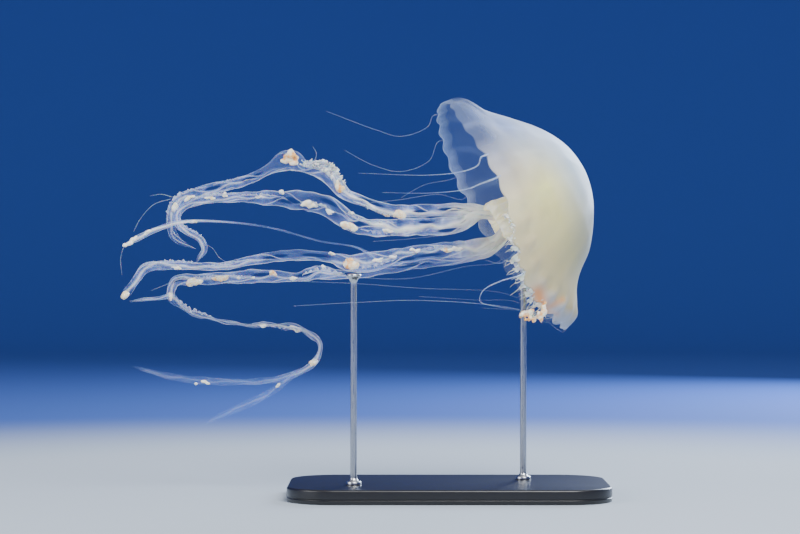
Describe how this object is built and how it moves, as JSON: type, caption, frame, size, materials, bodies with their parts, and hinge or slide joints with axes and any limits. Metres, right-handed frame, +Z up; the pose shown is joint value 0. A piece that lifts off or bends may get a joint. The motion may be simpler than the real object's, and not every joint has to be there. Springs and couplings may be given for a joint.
{
  "type": "sea nettle jellyfish model",
  "caption": "Life-size still model of a swimming sea nettle jellyfish: domed bell with a scalloped rim, frilled trailing mouth arms and fine tentacles, held up by a plain display stand.",
  "frame": {"origin": "on the floor plane at the underside of the base, under the middle of the box round the whole model", "axes": "+Z up, +X from the trailing ends of the mouth arms towards the top of the bell, +Y away from the front"},
  "size_m": [0.2682, 0.1404, 0.2197],
  "materials": {
    "bell_jelly": "wet, milky, slightly translucent jelly, cream in the middle and paler blue-white at the rim",
    "mouth_flesh": "wet, cream to peach flesh",
    "arm_frill": "wet, thin, see-through frill with denser cream and orange lumps",
    "tentacle_thread": "wet, fine, see-through thread",
    "stand_base": "black lacquer, satin",
    "stand_rod": "fine brushed"
  },
  "bodies": {
    "root": {"bell": "bell_jelly", "manubrium": "mouth_flesh", "margin_frill_1": "mouth_flesh", "margin_frill_2": "mouth_flesh", "margin_frill_3": "mouth_flesh", "margin_frill_4": "mouth_flesh", "margin_frill_5": "mouth_flesh", "margin_tuft": "mouth_flesh", "oral_arm_1_length_1": "arm_frill", "oral_arm_1_length_2": "arm_frill", "oral_arm_1_length_3": "arm_frill", "oral_arm_1_length_4": "arm_frill", "oral_arm_1_length_5": "arm_frill", "oral_arm_2_length_1": "arm_frill", "oral_arm_2_length_2": "arm_frill", "oral_arm_2_length_3": "arm_frill", "oral_arm_2_length_4": "arm_frill", "oral_arm_2_length_5": "arm_frill", "oral_arm_3_filament_length_1": "arm_frill", "oral_arm_3_filament_length_2": "arm_frill", "oral_arm_3_filament_length_3": "arm_frill", "oral_arm_3_length_1": "arm_frill", "oral_arm_3_length_2": "arm_frill", "oral_arm_3_length_3": "arm_frill", "oral_arm_3_length_4": "arm_frill", "oral_arm_3_length_5": "arm_frill", "oral_arm_4_fork": "arm_frill", "oral_arm_4_length_1": "arm_frill", "oral_arm_4_length_2": "arm_frill", "oral_arm_4_length_3": "arm_frill", "oral_arm_4_length_4": "arm_frill", "oral_arm_4_length_5": "arm_frill", "oral_arm_4_length_6": "arm_frill", "oral_arm_4_length_7": "arm_frill", "oral_arm_4_length_8": "arm_frill", "oral_arm_4_link": "arm_frill", "stand_base": "stand_base", "stand_rod_arms": "stand_rod", "stand_rod_bell": "stand_rod", "tentacle_01": "tentacle_thread", "tentacle_02": "tentacle_thread", "tentacle_03": "tentacle_thread", "tentacle_04": "tentacle_thread", "tentacle_05": "tentacle_thread", "tentacle_06_length_1": "tentacle_thread", "tentacle_06_length_2": "tentacle_thread", "tentacle_07_length_1": "tentacle_thread", "tentacle_07_length_2": "tentacle_thread", "tentacle_08_length_1": "tentacle_thread", "tentacle_08_length_2": "tentacle_thread", "tentacle_09": "tentacle_thread", "tentacle_10_length_1": "tentacle_thread", "tentacle_10_length_2": "tentacle_thread", "tentacle_11": "tentacle_thread", "tentacle_12": "tentacle_thread", "tentacle_13": "tentacle_thread", "tentacle_14_length_1": "tentacle_thread", "tentacle_14_length_2": "tentacle_thread"}
  },
  "joints": []
}
